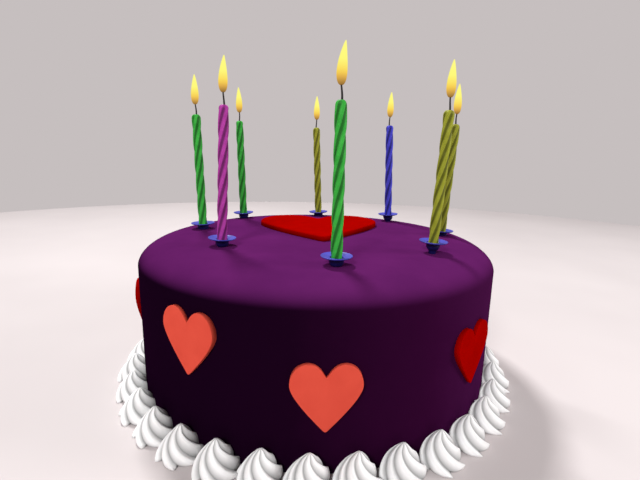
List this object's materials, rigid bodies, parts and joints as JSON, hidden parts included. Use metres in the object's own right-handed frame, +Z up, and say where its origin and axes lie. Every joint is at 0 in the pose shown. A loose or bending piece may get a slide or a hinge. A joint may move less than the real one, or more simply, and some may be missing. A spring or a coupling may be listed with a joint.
{
  "type": "birthday cake with candles",
  "caption": "Round birthday cake covered in purple fondant, with a piped cream border, fondant hearts on its side and top, and lit twisted candles in saucer holders.",
  "frame": {"origin": "middle of the cake's flat underside, in the plane that it and the cream border rest on", "axes": "+Z up along the cake's axis, -Y towards the front, where the top heart's point faces, +X to the right as seen from the front"},
  "size_m": [0.233, 0.233, 0.1756],
  "materials": {
    "fondant_purple": "satin",
    "icing_red": "satin",
    "icing_coral": "satin",
    "cream_white": "matt",
    "wax_green": "satin",
    "wax_magenta": "satin",
    "wax_yellow": "satin",
    "wax_blue": "satin",
    "holder_blue": "gloss",
    "wick_char": "matt",
    "flame_glow": "glowing"
  },
  "bodies": {
    "root": {"cake_body": "fondant_purple", "cream_border": "cream_white", "top_heart": "icing_red", "side_heart_1": "icing_coral", "side_heart_2": "icing_red", "side_heart_3": "icing_coral", "side_heart_4": "icing_coral", "side_heart_5": "icing_red", "side_heart_6": "icing_coral", "side_heart_7": "icing_coral", "side_heart_8": "icing_red", "side_heart_9": "icing_coral", "holder_1": "holder_blue", "candle_1": "wax_green", "wick_1": "wick_char", "flame_1": "flame_glow", "holder_2": "holder_blue", "candle_2": "wax_yellow", "wick_2": "wick_char", "flame_2": "flame_glow", "holder_3": "holder_blue", "candle_3": "wax_yellow", "wick_3": "wick_char", "flame_3": "flame_glow", "holder_4": "holder_blue", "candle_4": "wax_blue", "wick_4": "wick_char", "flame_4": "flame_glow", "holder_5": "holder_blue", "candle_5": "wax_yellow", "wick_5": "wick_char", "flame_5": "flame_glow", "holder_6": "holder_blue", "candle_6": "wax_green", "wick_6": "wick_char", "flame_6": "flame_glow", "holder_7": "holder_blue", "candle_7": "wax_green", "wick_7": "wick_char", "flame_7": "flame_glow", "holder_8": "holder_blue", "candle_8": "wax_magenta", "wick_8": "wick_char", "flame_8": "flame_glow"}
  },
  "joints": []
}
